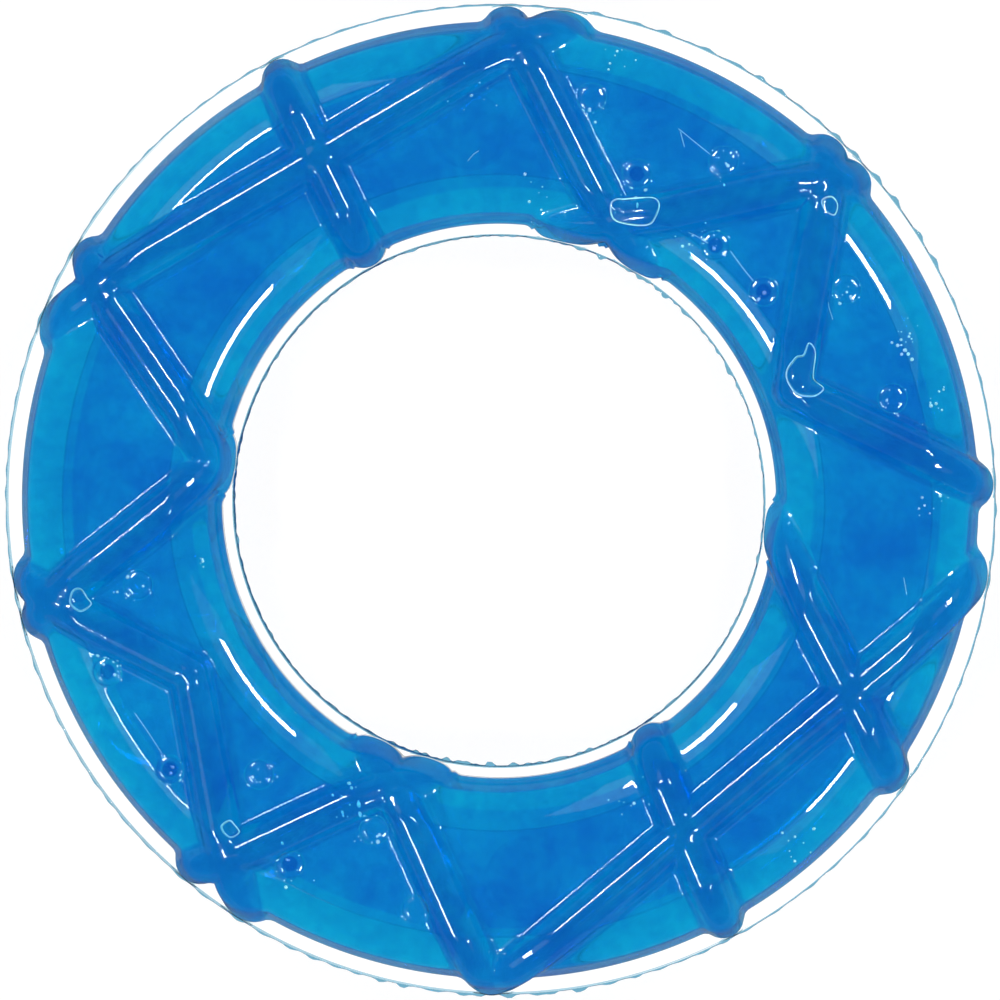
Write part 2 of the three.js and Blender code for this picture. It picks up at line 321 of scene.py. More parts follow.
def read(items, name, width, kind=float):
    values = np.empty(len(items) * width, dtype=kind)
    items.foreach_get(name, values)
    return values.reshape(-1, width)

print("rings become faces, and faces become a piece")

# %% [markdown]
# ## The flange
# Around the rim and the hole, each shell has a narrow flat flange with a rounded edge. Where a
# lobe hangs over the rim, the flange gives way to it, so its width follows from the skin's foot.
# Each ring of points has a twin with the directions that it faces.

# %% Flange rings
angle = np.linspace(0, FULL_TURN, AROUND, endpoint=False)
FLANGE_ROUND, FLANGE_LEAST = 0.3, 0.15
ROUND_SHARE = 0.35
LIP_RISE, LIP_IN = 0.12, 0.06

def ring_at(radius, height):
    radius = radius + 0 * angle
    return np.stack([radius * np.cos(angle), radius * np.sin(angle), height + 0 * angle], axis=1)

def flange_rings(foot_ring, edge, sign):
    foot_r = np.hypot(foot_ring[:, 0], foot_ring[:, 1])
    edge = np.where((edge - foot_r) * sign < FLANGE_LEAST, foot_r + sign * FLANGE_LEAST, edge)
    room = (edge - foot_r) * sign
    rings, normals = [], []
    for share in (0.01, 0.3, 0.6):
        rings.append(ring_at(foot_r + sign * room * share, FLANGE_TOP))
        normals.append(ring_at(0.0, 1.0))
    for turn in (0, 35, 70, 90):
        a = math.radians(turn)
        inward = np.minimum(FLANGE_ROUND, room * ROUND_SHARE) * (1 - math.sin(a))
        rings.append(ring_at(edge - sign * inward, FLANGE_TOP - FLANGE_ROUND * (1 - math.cos(a))))
        normals.append(ring_at(sign * math.sin(a), math.cos(a)))
    rings += [ring_at(edge, SEAM_HALF + LIP_RISE), ring_at(edge - sign * LIP_IN, SEAM_HALF)]
    normals += [ring_at(sign, 0.0), ring_at(sign, 0.0)]
    return rings, normals

inner_flange, inner_normal = flange_rings(skin[0], FLANGE_INNER, -1)
outer_flange, outer_normal = flange_rings(skin[-1], FLANGE_OUTER, 1)
print("flange rings", len(inner_flange), "and", len(outer_flange))

# %% [markdown]
# ## The upper half shell
# A half shell is one closed mesh: the outside skin, the flange with a rounded edge, the flat
# underside of the flange, and the hollow inside. The hollow is seen only through the clear wall,
# so it has half as many points around, and a row of triangles joins the two spacings.
# Each quad is cut along the diagonal over which the skin turns least, which keeps crests clean.

# %% Upper half shell
SKIN_FACE, LINING_FACE, FUSED_FACE, FLAT_FACE, EDGE_FACE = range(5)

def split_quads(faces, normal):
    a, b, c, d = faces.T
    along_ac = np.linalg.norm(normal[a] - normal[c], axis=1)
    along_bd = np.linalg.norm(normal[b] - normal[d], axis=1)
    pick = (along_ac <= along_bd)[:, None]
    first = np.where(pick, np.stack([a, b, c], axis=1), np.stack([a, b, d], axis=1))
    second = np.where(pick, np.stack([a, c, d], axis=1), np.stack([b, c, d], axis=1))
    return np.concatenate([first, second]).tolist()

def keep_normals(mesh, normals):
    kept = mesh.attributes.new("true_normal", "FLOAT_VECTOR", "POINT")
    kept.data.foreach_set("vector", normals.astype(np.float32).ravel())

shell_rings = inner_flange[::-1] + list(skin) + outer_flange + list(hollow[::-1])
shell_points, shell_faces = ring_faces(shell_rings)
shell_normal = inner_normal[::-1] + list(skin_normal) + outer_normal + list(-hollow_normal[::-1])
shell_normal = np.concatenate(shell_normal)
quads = np.array([face for face in shell_faces if len(face) == 4])
fans = [face for face in shell_faces if len(face) == 3]
in_hollow = quads.min(axis=1) >= len(shell_points) - hollow.shape[0] * hollow.shape[1]
skin_faces = split_quads(quads[~in_hollow], shell_normal)
hollow_faces = split_quads(quads[in_hollow], shell_normal)
upper_shell = make_piece("upper_half_shell", shell_points, skin_faces + hollow_faces + fans)
face_counts = [len(skin_faces), len(hollow_faces), len(fans)]
shell_sides = np.repeat([SKIN_FACE, LINING_FACE, FUSED_FACE], face_counts).astype(np.int32)
upper_shell.data.polygons.foreach_set("material_index", shell_sides)
keep_normals(upper_shell.data, shell_normal)
print("half shell faces: skin, lining, fused", face_counts)

# %% [markdown]
# ## Pips
# Small flat buttons stand on the panels between the ribs. They are turned bodies with a round
# rim, sunk a little into the panel so that a boolean can join them to the shell.

# %% Pips
PIPS = [
    (62.3, 76.7), (53.6, 66.8), (61.5, 56.4), (50.7, 49.6), (51.1, 38.4), (61.4, 31.5), (61.3, 14.9),
    (55.2, 192.9), (63.8, 203.5), (63.4, 219.3), (54.2, 228.9), (62.5, 240.3), (52.4, 249.6), (62.2, 259.0),
]
PIP_PROFILE = [
    (0.0, 0.50), (1.25, 0.50), (1.35, 0.488), (1.52, 0.444), (1.69, 0.397), (1.86, 0.344), (2.03, 0.286),
    (2.10, 0.20), (2.14, 0.08), (2.16, -0.02), (2.17, -0.22),
]
PIP_SIDES = 40

def pip_body(radius, degrees):
    x, y = plan(radius, degrees)
    n = PIP_SIDES
    turns = np.linspace(0, FULL_TURN, n, endpoint=False)
    points = [(x, y, PANEL_HEIGHT + PIP_PROFILE[0][1])]
    for r, z in PIP_PROFILE[1:]:
        points += [(x + r * math.cos(a), y + r * math.sin(a), PANEL_HEIGHT + z) for a in turns]
    points.append((x, y, PANEL_HEIGHT + PIP_PROFILE[-1][1]))
    faces = [(0, 1 + i, 1 + (i + 1) % n) for i in range(n)]
    for k in range(len(PIP_PROFILE) - 2):
        a, b = 1 + n * k, 1 + n * (k + 1)
        faces += [(a + i, b + i, b + (i + 1) % n, a + (i + 1) % n) for i in range(n)]
    last = 1 + n * (len(PIP_PROFILE) - 2)
    faces += [(len(points) - 1, last + (i + 1) % n, last + i) for i in range(n)]
    return points, faces

pip_points, pip_faces = [], []
for pip_radius, pip_turn in PIPS:
    points, faces = pip_body(pip_radius, pip_turn)
    pip_faces += [tuple(len(pip_points) + i for i in face) for face in faces]
    pip_points += points
pips = make_piece("pips", pip_points, pip_faces)
keep_normals(pips.data, read(pips.data.vertex_normals, "vector", 3))
print("pips", len(PIPS))

# %% [markdown]
# The boolean keeps the measured directions of skin and pips as an attribute. They become the
# joined mesh's own normals, apart from the points where both surfaces meet at an angle.

# %% Join the pips to the shell
SAME_WAY = 0.2
join = upper_shell.modifiers.new("pips", "BOOLEAN")
join.operation = "UNION"
join.solver = "MANIFOLD"
join.object = pips
depsgraph = bpy.context.evaluated_depsgraph_get()
joined = bpy.data.meshes.new_from_object(upper_shell.evaluated_get(depsgraph))
upper_shell.modifiers.clear()
upper_shell.data = joined
bpy.data.objects.remove(pips)
joined.shade_smooth()
smooth = read(joined.attributes["true_normal"].data, "vector", 3)
plain = read(joined.vertex_normals, "vector", 3)
agree = np.einsum("ij,ij->i", smooth, plain) > SAME_WAY
smooth = np.where(agree[:, None], smooth, plain)
joined.attributes.remove(joined.attributes["true_normal"])
print("shell with pips", len(joined.polygons), "faces")

# %% [markdown]
# ## The lower half shell
# The lower shell is the finished upper one, mirrored through the weld plane.

# %% Mirror the shell
UPSIDE_DOWN = np.array([1, 1, -1])
lower_mesh = joined.copy()
spots = read(lower_mesh.vertices, "co", 3)
spots[:, 2] = 2 * WELD_Z * MM - spots[:, 2]
lower_mesh.vertices.foreach_set("co", spots.ravel())
lower_mesh.flip_normals()
joined.normals_split_custom_set_from_vertices(smooth.tolist())
lower_mesh.normals_split_custom_set_from_vertices((smooth * UPSIDE_DOWN).tolist())
lower_shell = bpy.data.objects.new("lower_half_shell", lower_mesh)
bpy.context.scene.collection.objects.link(lower_shell)
print("lower shell from", round(spots[:, 2].min(), 5), "to", round(spots[:, 2].max(), 5), "m")

# %% [markdown]
# The faces of the flange get numbers of their own, for the looks of its flat and its edge.

# %% Sides of the shells
LEVEL_FACE = 0.93
sides = read(joined.polygons, "material_index", 1, np.int32)[:, 0]
face_height = read(joined.polygons, "center", 3)[:, 2] / MM - WELD_Z
face_up = np.abs(read(joined.polygons, "normal", 3)[:, 2])
on_flange = (sides == SKIN_FACE) & (face_height < FLANGE_TOP + 0.03)
sides[on_flange] = np.where(face_up > LEVEL_FACE, FLAT_FACE, EDGE_FACE)[on_flange]
print("faces: skin, lining, fused, flat, edge", np.bincount(sides).tolist())

# %% [markdown]
# ## The liquid
# The liquid fills the hollow, with a hair's breadth of space so that the two surfaces never lie
# in each other. It is one closed body, made of the inset skin above and its mirror image below.
# Each point keeps how far up a rib it lies, for the colour.

# %% Liquid
FLUID_AROUND = 600
fluid_top, _, fluid_rib = skin_rings(FLUID_INSET, 0.0, FLUID_AROUND, FLUID_ROWS)
fluid_low = fluid_top[1:-1][::-1] * UPSIDE_DOWN
fluid_points, fluid_faces = ring_faces(list(fluid_top) + list(fluid_low))
fluid = make_piece("blue_liquid", fluid_points, fluid_faces)
in_rib = fluid.data.attributes.new("in_rib", "FLOAT", "POINT")
rib_share = np.concatenate([fluid_rib, fluid_rib[1:-1][::-1]])
in_rib.data.foreach_set("value", rib_share.astype(np.float32).ravel())
print("liquid faces", len(fluid_faces))

# %% [markdown]
# ## Air in the liquid
# A filled ring keeps a little air. It gathers at the top of the ribs where they meet, as flat
# pockets that follow the hollow above and lie level on the liquid below, and as tiny beads that
# cling to the pips. Froth gathers along the edge of a pocket, and fine threads of it lie on the
# panels. Places are given as seen by the camera, in a view of 1000 by 1000, because that is how
# such chance marks are found. They are brought down to the height at which they lie.

# %% Places of the air
VIEW_STEPS, VIEW_MIDDLE = 1000, (500.7, 499.6)
POCKETS = [
    [(613, 201), (627, 198), (651, 197), (661, 203), (659, 213), (651, 222), (634, 223), (616, 218)],
    [
        (804, 353), (809, 341), (815, 351), (814, 376), (824, 388),
        (814, 395), (797, 390), (789, 373), (797, 356),
    ],
    [(72, 590), (80, 587), (86, 597), (90, 606), (80, 612), (70, 603)],
    [(222, 826), (229, 821), (234, 826), (240, 833), (232, 838), (225, 834)],
    [(823, 200), (832, 196), (838, 204), (834, 214), (826, 210)],
]
THREADS = [
    [(680, 128), (696, 141), (712, 154)],
    [(682, 131), (686, 146)],
    [(732, 250), (743, 265), (755, 280)],
    [(690, 230), (710, 242)],
    [(135, 713), (149, 733), (162, 753)],
    [(588, 112), (598, 140), (610, 163)],
    [(392, 845), (399, 853)],
    [(905, 575), (908, 592)],
    [(826, 300), (834, 318)],
    [(470, 160), (476, 153), (481, 150)],
]
BEAD_PLACES = [
    (640, 190, 26), (712, 240, 14), (762, 292, 16), (593, 112, 12), (722, 170, 18), (893, 402, 14),
    (906, 332, 20), (846, 294, 12), (135, 590, 18), (106, 668, 18), (168, 778, 20), (258, 782, 14),
    (289, 868, 20), (376, 836, 18), (690, 240, 20), (360, 812, 14), (205, 560, 14), (470, 96, 24),
    (283, 707, 20), (937, 398, 16), (905, 350, 14), (620, 62, 20), (640, 795, 22), (345, 800, 16),
    (262, 560, 18), (530, 205, 26), (795, 830, 24), (930, 500, 18),
]

def from_above(px, py, height):
    rise = height / CAMERA_HEIGHT
    flat = np.array([px - VIEW_MIDDLE[0], VIEW_MIDDLE[1] - py]) * VIEW_WIDTH / VIEW_STEPS
    return flat * (1 - rise) + np.array(CAMERA_SIDE) * rise

print("pockets", len(POCKETS), "threads", len(THREADS), "groups of beads", len(BEAD_PLACES))

# %% [markdown]
# Three small shapes are enough: a closed curve through a few corners for the outline of a pocket,
# a ball with eight sides for a bead, and a tube with five sides for a thread.

# %% Outlines, balls and tubes
BALL_SIDES, TUBE_SIDES = 8, 5

def smooth_outline(corners, count):
    corners = np.array(corners, dtype=float)
    n = len(corners)
    outline = []
    for i in range(n):
        p0, p1, p2, p3 = corners[i - 1], corners[i], corners[(i + 1) % n], corners[(i + 2) % n]
        for t in np.linspace(0, 1, count // n, endpoint=False):
            outline.append(0.5 * (2 * p1 + (p2 - p0) * t + (2 * p0 - 5 * p1 + 4 * p2 - p3) * t * t
                                  + (3 * p1 - p0 - 3 * p2 + p3) * t ** 3))
    return np.array(outline)

def ball(centre, radius, points, faces):
    base, n = len(points), BALL_SIDES
    points.append(centre + np.array([0, 0, radius]))
    for tilt in (45, 90, 135):
        for turn in range(0, 360, 360 // n):
            a, b = math.radians(tilt), math.radians(turn)
            way = np.array([math.sin(a) * math.cos(b), math.sin(a) * math.sin(b), math.cos(a)])
            points.append(centre + radius * way)
    points.append(centre - np.array([0, 0, radius]))
    first, last, foot = base + 1, base + 1 + 2 * n, base + 1 + 3 * n
    faces += [(base, first + i, first + (i + 1) % n) for i in range(n)]
    for a in (first, first + n):
        faces += [(a + i, a + n + i, a + n + (i + 1) % n, a + (i + 1) % n) for i in range(n)]
    faces += [(foot, last + (i + 1) % n, last + i) for i in range(n)]

def tube(path, radius, points, faces, closed):
    path = np.array(path)
    ahead = np.roll(path, -1, axis=0) - np.roll(path, 1, axis=0)
    if not closed:
        ahead[0], ahead[-1] = path[1] - path[0], path[-1] - path[-2]
    across = np.stack([-ahead[:, 1], ahead[:, 0], 0 * ahead[:, 0]], axis=1)
    across /= np.linalg.norm(across, axis=1)[:, None]
    base, n, m = len(points), len(path), TUBE_SIDES
    for spot, aside in zip(path, across):
        for turn in range(0, 360, 360 // m):
            a = math.radians(turn)
            points.append(spot + radius * (math.cos(a) * aside + np.array([0, 0, math.sin(a)])))
    for i in range(n if closed else n - 1):
        a, b = base + m * i, base + m * ((i + 1) % n)
        faces += [(a + k, b + k, b + (k + 1) % m, a + (k + 1) % m) for k in range(m)]
    if not closed:
        end = base + m * n - 1
        faces += [tuple(base + k for k in range(m)), tuple(end - k for k in range(m))]

print("a bead has", 2 + 3 * BALL_SIDES, "points")

# %% [markdown]
# A pocket is its outline, filled with smaller and smaller rings. Its top follows the hollow, and
# its underside lies nearly level. Both draw together at the outline, as the edge of a bubble does.

# %% Air pockets
POCKET_POINTS, POCKET_HEIGHT = 48, 9.5
POCKET_SHARES, POCKET_TAPER = (1.0, 0.93, 0.8, 0.55, 0.25), (0.35, 0.8, 1.0, 1.0, 1.0)
POCKET_SKIN, POCKET_DROP, POCKET_LEAST, POCKET_UNDER = 0.12, 0.7, 0.25, 0.35

def pocket(corners, points, faces):
    places = [from_above(x, y, POCKET_HEIGHT) for x, y in corners]
    outline = smooth_outline(places, POCKET_POINTS)
    centre = outline.mean(axis=0)
    spots = np.concatenate([centre + (outline - centre) * share for share in POCKET_SHARES])
    lift = rib_lift(spots[:, 0], spots[:, 1], np.full(len(spots), RIB_HEIGHT), FLUID_INSET)
    roof = PANEL_HEIGHT + lift - FLUID_INSET - POCKET_SKIN
    level = np.percentile(roof, 35) - POCKET_DROP
    taper = np.repeat(POCKET_TAPER, len(outline))
    top = np.column_stack([spots, level + np.maximum(roof - level, POCKET_LEAST) * taper])
    low = np.column_stack([spots, level - POCKET_UNDER * taper])
    base, n, last = len(points), len(outline), (len(POCKET_SHARES) - 1) * len(outline)
    points += list(top) + [np.array([*centre, top[-n:, 2].mean()])]
    points += list(low) + [np.array([*centre, level - POCKET_UNDER])]
    cap = base + len(spots)
    under = cap + 1
    for i in range(n):
        j = (i + 1) % n
        for k in range(0, last, n):
            a, b = base + k, base + k + n
            faces.append((a + i, a + j, b + j, b + i))
            a, b = under + k, under + k + n
            faces.append((a + j, a + i, b + i, b + j))
        faces.append((base + last + i, base + last + j, cap))
        faces.append((under + last + j, under + last + i, under + len(spots)))
        faces.append((base + j, base + i, under + i, under + j))
    return top[:n]

air_points, air_faces = [], []
edges_of_air = [pocket(corners, air_points, air_faces) for corners in POCKETS]
pocket_faces = len(air_faces)
print("pocket faces", pocket_faces)

# %% [markdown]
# Froth and beads share the mesh of the pockets. The beads drift around each place by chance, with
# a fixed seed so that every run gives the same ones, and only where the skin is high enough.

# %% Froth, threads and beads
FROTH_RADIUS, THREAD_RADIUS, THREAD_DEPTH = 0.09, 0.045, 0.3
BEADS_EACH, BEAD_LEAST, BEAD_MORE, BEAD_DEPTH = 9, 0.08, 0.24, 0.5
SEEN_HEIGHT, BEAD_SKIN = 8.0, 7.0
for edge in edges_of_air:
    tube(edge, FROTH_RADIUS, air_points, air_faces, True)
thread_z = PANEL_HEIGHT - FLUID_INSET - THREAD_DEPTH
for thread in THREADS:
    spots = [np.array([*from_above(x, y, SEEN_HEIGHT), thread_z]) for x, y in thread]
    tube(spots, THREAD_RADIUS, air_points, air_faces, False)
drift = np.random.default_rng(11)
for px, py, spread_px in BEAD_PLACES:
    for _ in range(BEADS_EACH):
        bead_px = px + drift.normal(0, spread_px * 0.5)
        bead_py = py + drift.normal(0, spread_px * 0.5)
        x, y = from_above(bead_px, bead_py, SEEN_HEIGHT)
        skin_z = np.interp(math.hypot(x, y), SECTION["r"], SECTION["z"])
        if skin_z > BEAD_SKIN:
            bead = np.array([x, y, skin_z - FLUID_INSET - BEAD_DEPTH])
            ball(bead, BEAD_LEAST + BEAD_MORE * drift.random() ** 2, air_points, air_faces)
air = make_piece("trapped_air", np.array(air_points), air_faces)
air_sides = (np.arange(len(air_faces)) >= pocket_faces).astype(np.int32)
print("air faces", len(air_faces), "of them froth", int(air_sides.sum()))

# %% [markdown]
# ## The weld
# The flanges are fused, and the weld squeezes a thin uneven bead out past their edges. Two flat
# rings with a scalloped inside edge, which follows the lobes of the hollow, stand for it. The
# bead's ragged edge is a sum of waves, which grows in a few places as real flash does.

# %% Weld seams
RAGGED_SIZE, RAGGED_WAVES, RAGGED_LIMITS = 0.09, range(5, 160, 9), (-0.08, 0.45)
FLASH_PLACES, FLASH_SPREAD, FLASH_GAIN = (36, 60, 258, 276), 16, 2.4
SEAM_GAP, SEAM_FLAT, SEAM_ROUND, SEAM_THINNER = 0.05, 0.27, 0.1, 0.03
noise = np.random.default_rng(7)

def ragged(scale, waves):
    value = np.zeros(AROUND)
    for n in waves:
        value += noise.normal() * np.sin(n * angle + noise.uniform(0, FULL_TURN))
    return scale * value / math.sqrt(len(waves))

def near_flash(where):
    return FLASH_GAIN * np.exp(-((np.degrees(angle) - where) / FLASH_SPREAD) ** 2)

def seam_piece(name, hollow_foot, bead, sign):
    foot_r = np.hypot(hollow_foot[:, 0], hollow_foot[:, 1])
    turns = np.linspace(0, FULL_TURN, len(foot_r) + 1)
    inside = np.interp(angle, turns, np.append(foot_r, foot_r[0])) + sign * SEAM_GAP
    flash = 1 + sum(near_flash(where) for where in FLASH_PLACES)
    edge = bead + sign * np.clip(flash * ragged(RAGGED_SIZE, RAGGED_WAVES), *RAGGED_LIMITS)
    half = SEAM_HALF - SEAM_THINNER
    profile = [(inside, half), (bead - sign * SEAM_FLAT, half), (edge - sign * SEAM_ROUND, half)]
    profile.append((edge, half * 0.5))
    profile += [(radius, -height) for radius, height in profile[::-1]]
    points, faces = ring_faces([ring_at(radius, height) for radius, height in profile])
    return make_piece(name, points, faces)

def weld_sides(piece):
    # The flat faces are fused to the flanges, so only the bead outside them shows a surface.
    facing = read(piece.data.polygons, "normal", 3)
    middle = read(piece.data.polygons, "center", 3)
    radius = np.hypot(middle[:, 0], middle[:, 1]) / MM
    hidden = (radius > FLANGE_INNER) & (radius < FLANGE_OUTER) & (np.abs(facing[:, 2]) > 0.95)
    piece.data.polygons.foreach_set("material_index", hidden.astype(np.int32))

outer_seam = seam_piece("outer_weld_bead", hollow[-1], BEAD_OUTER, 1)
inner_seam = seam_piece("inner_weld_bead", hollow[0], BEAD_INNER, -1)
for seam in (outer_seam, inner_seam):
    weld_sides(seam)
    print(seam.name, len(seam.data.polygons), "faces")

# %% [markdown]
# ## Helpers for nodes
# A material is a small graph of nodes. These helpers add a node and feed its sockets, each either
# from another node's socket or with a plain value.

# %% Helpers for nodes
def add(tree, kind, **values):
    node = tree.nodes.new(kind)
    for key, value in values.items():
        setattr(node, key, value)
    return node

def feed(tree, socket, term):
    if isinstance(term, bpy.types.NodeSocket):
        tree.links.new(term, socket)
    else:
        socket.default_value = term

def feed_all(tree, node, terms):
    for key, term in terms.items():
        feed(tree, node.inputs[key], term)

def add_fed(tree, kind, terms, **values):
    node = add(tree, kind, **values)
    feed_all(tree, node, terms)
    return node

def calc(tree, operation, *terms, clamp=False):
    fed = dict(enumerate(terms))
    node = add_fed(tree, "ShaderNodeMath", fed, operation=operation, use_clamp=clamp)
    return node.outputs["Value"]

def ramp(tree, value, low, high, to_low=0.0, to_high=1.0):
    fed = {"Value": value, "From Min": low, "From Max": high, "To Min": to_low, "To Max": to_high}
    return add_fed(tree, "ShaderNodeMapRange", fed).outputs["Result"]

def mixed(tree, factor, a, b, blend="MIX"):
    fed = {"Factor": factor, "A": a, "B": b}
    node = add_fed(tree, "ShaderNodeMix", fed, data_type="RGBA", blend_type=blend)
    return node.outputs["Result"]

def new_group(name, inputs, outputs):
    group = bpy.data.node_groups.new(name, "ShaderNodeTree")
    for label, kind, value in inputs:
        socket = group.interface.new_socket(label, in_out="INPUT", socket_type=kind)
        socket.default_value = value
    for label, kind in outputs:
        group.interface.new_socket(label, in_out="OUTPUT", socket_type=kind)
    start = group.nodes.new("NodeGroupInput")
    end = group.nodes.new("NodeGroupOutput")
    return group, start.outputs, end.inputs

print("node helpers for numbers, ramps, mixes and groups")

# %% [markdown]
# ## Shared surface effects
# Moulded soft plastic is never quite clear: its surface waves a little, and fine scuffs haze it.
# A node group makes that once, with named values, and each plastic uses it in its own measure.

# %% Soft plastic group
NUMBER, COLOUR = "NodeSocketFloat", "NodeSocketColor"
soft, soft_in, soft_out = new_group(
    "soft plastic surface",
    [("Wave Size", NUMBER, 60.0), ("Haze", NUMBER, 0.05), ("Base", NUMBER, 0.03)],
    [("Height", NUMBER), ("Roughness", NUMBER)],
)
place = add(soft, "ShaderNodeTexCoord").outputs["Object"]
wave_terms = {"Vector": place, "Scale": soft_in["Wave Size"], "Detail": 1.5}
waves = add_fed(soft, "ShaderNodeTexNoise", wave_terms)
scuffs = add_fed(soft, "ShaderNodeTexNoise", {"Vector": place, "Scale": 420.0, "Detail": 3.0})
scuffed = ramp(soft, scuffs.outputs["Fac"], 0.55, 0.85)
feed(soft, soft_out["Height"], waves.outputs["Fac"])
feed(soft, soft_out["Roughness"], calc(soft, "MULTIPLY_ADD", scuffed, soft_in["Haze"], soft_in["Base"]))
print("group", soft.name, "with", len(soft.nodes), "nodes")

# %% [markdown]
# ## Clear plastic
# All of the plastic is see-through, so it uses full transmission on a Principled shader. The weld
# bead and the flange's round edge look teal, because light runs far along them before it leaves.
# The flange and the weld bend light less than the skin, or their edges would turn black.

# %% Clear plastics
PLASTIC_IOR, FLANGE_IOR = 1.48, 1.15
PLASTIC_TINT = (0.996, 0.999, 1.0)
WHITE = (1.0, 1.0, 1.0, 1.0)
RELIEF_DEPTH = 0.0004

def clear_material(name, ior, roughness):
    material = bpy.data.materials.new(name)
    material.use_nodes = True
    tree = material.node_tree
    shader = tree.nodes["Principled BSDF"]
    clear = {"Transmission Weight": 1.0, "IOR": ior, "Roughness": roughness, "Base Color": WHITE}
    feed_all(tree, shader, clear)
    return material, tree, shader

def plastic(name, tint, ior, haze, base, bump):
    material, tree, shader = clear_material(name, ior, base)
    surface = add_fed(tree, "ShaderNodeGroup", {"Haze": haze, "Base": base}, node_tree=soft)
    relief_terms = {"Strength": bump, "Distance": RELIEF_DEPTH, "Height": surface.outputs["Height"]}
    relief = add_fed(tree, "ShaderNodeBump", relief_terms)
    feed(tree, shader.inputs["Base Color"], (*tint, 1.0))
    feed(tree, shader.inputs["Roughness"], surface.outputs["Roughness"])
    feed(tree, shader.inputs["Normal"], relief.outputs["Normal"])
    return material

CLEAR = {"haze": 0.06, "base": 0.02, "bump": 0.10}
shell_look = plastic("clear_soft_plastic", PLASTIC_TINT, PLASTIC_IOR, **CLEAR)
flange_look = plastic("clear_flange", (0.998, 0.9995, 1.0), FLANGE_IOR, **CLEAR)
weld_look = plastic("fused_weld_plastic", (0.16, 0.40, 0.54), FLANGE_IOR, haze=0.20, base=0.06, bump=0.25)
rim_look = plastic("rounded_flange_edge", (0.20, 0.44, 0.58), FLANGE_IOR, haze=0.10, base=0.03, bump=0.15)
print("plastics", [look.name for look in (shell_look, weld_look, rim_look, flange_look)])

# %% [markdown]
# ## Lower skin and inside faces
# Light that leaves through the lower skin would be bent into black curves, which the real toy
# doesn't show from above. So that skin bends nothing, and a clear coat gives it its gloss.
# The lining is wet, so it hardly bends light either, and where pieces are fused nothing shows.

# %% Lower skin and inside faces
NO_BEND = 1.0
under_look = plastic("clear_soft_plastic_under", PLASTIC_TINT, NO_BEND, **CLEAR)
tree = under_look.node_tree
coat = {"Coat Weight": 1.0, "Coat IOR": PLASTIC_IOR, "Coat Roughness": 0.04}
feed_all(tree, tree.nodes["Principled BSDF"], coat)
lining_look = clear_material("wetted_lining", ior=1.02, roughness=0.06)[0]
air_look = clear_material("trapped_air", ior=1.1, roughness=0.0)[0]
fused_look = clear_material("fused_faces", NO_BEND, roughness=0.0)[0]
print("inside faces", [look.name for look in (lining_look, air_look, fused_look)])

# %% [markdown]
# ## Froth
# Froth scatters the light that reaches it from all sides, which a faint glow of its own stands for.

# %% Froth
FROTH_GLOW = 0.5
froth_look = bpy.data.materials.new("froth")
froth_look.use_nodes = True
tree = froth_look.node_tree
feed_all(tree, tree.nodes["Principled BSDF"], {
    "Base Color": (0.45, 0.85, 0.92, 1.0),
    "Roughness": 0.4,
    "Emission Color": (0.30, 0.80, 0.90, 1.0),
    "Emission Strength": FROTH_GLOW,
})
print("froth glows at", FROTH_GLOW)

# %% [markdown]
# ## Colour of the liquid
# Most of the blue comes from the depth of liquid that light crosses. The rest is a tint on the
# liquid's surface, so that a panel, a rib and a lobe each look a little different in colour. On the
# panels it is painted shade, darker for the toy's shadow on the floor that is seen through them. It
# could be painted by hand, but masks from the radius and from the rib net keep it tied to the shape.

# %% Liquid tint: panels, ribs and lobes
PANEL_EDGES = ((49.05, 49.40), (65.35, 65.0))
tint, tint_in, tint_out = new_group(
    "liquid tint",
    [
        ("Shoulder", COLOUR, WHITE),
        # The panel tint is painted shade, for the toy's shadow on the floor seen through the panels.
        ("Panel", COLOUR, (1.0, 0.83, 1.0, 1.0)),
        ("Rib", COLOUR, (1.0, 0.94, 1.0, 1.0)),
        ("Lobe", COLOUR, (1.0, 0.72, 0.95, 1.0)),
        ("Cloud", NUMBER, 0.85),
    ],
    [("Color", COLOUR)],
)
place = add(tint, "ShaderNodeTexCoord").outputs["Object"]
flat = add_fed(tint, "ShaderNodeVectorMath", {0: place, 1: (1.0, 1.0, 0.0)}, operation="MULTIPLY")
flat = flat.outputs["Vector"]
radius = add_fed(tint, "ShaderNodeVectorMath", {0: flat}, operation="LENGTH").outputs["Value"]
panel_sides = [ramp(tint, radius, low * MM, high * MM) for low, high in PANEL_EDGES]
panel = calc(tint, "MULTIPLY", *panel_sides)
rib = add(tint, "ShaderNodeAttribute", attribute_name="in_rib").outputs["Fac"]
off_rib = calc(tint, "SUBTRACT", 1.0, rib)
body_colour = mixed(tint, panel, tint_in["Shoulder"], tint_in["Panel"])
rib_colour = mixed(tint, panel, tint_in["Lobe"], tint_in["Rib"])
shaded = mixed(tint, rib, body_colour, rib_colour)
print("tint of panels, ribs and lobes:", len(tint.nodes), "nodes")

# %% [markdown]
# The colour darkens in soft random patches, most of all under the panels, and is finely mottled.
# The flanks of the ribs get painted shade, a deeper colour where light crosses more of the liquid.
# Each of these layers multiplies what lies under it by a shade.

# %% Liquid tint: clouds, painted flank shade and mottle
CLOUD_SHADE, FLANK_PAINTED_SHADE, MOTTLE_SHADE = (0.8, 0.46, 0.88), (0.9, 0.76, 0.97), (0.92, 0.86, 0.96)
CLOUD_OFF_PANEL, FLANK_GAIN = 0.5, 2.0

def darken(colour, factor, shade):
    return mixed(tint, factor, colour, (*shade, 1.0), "MULTIPLY")

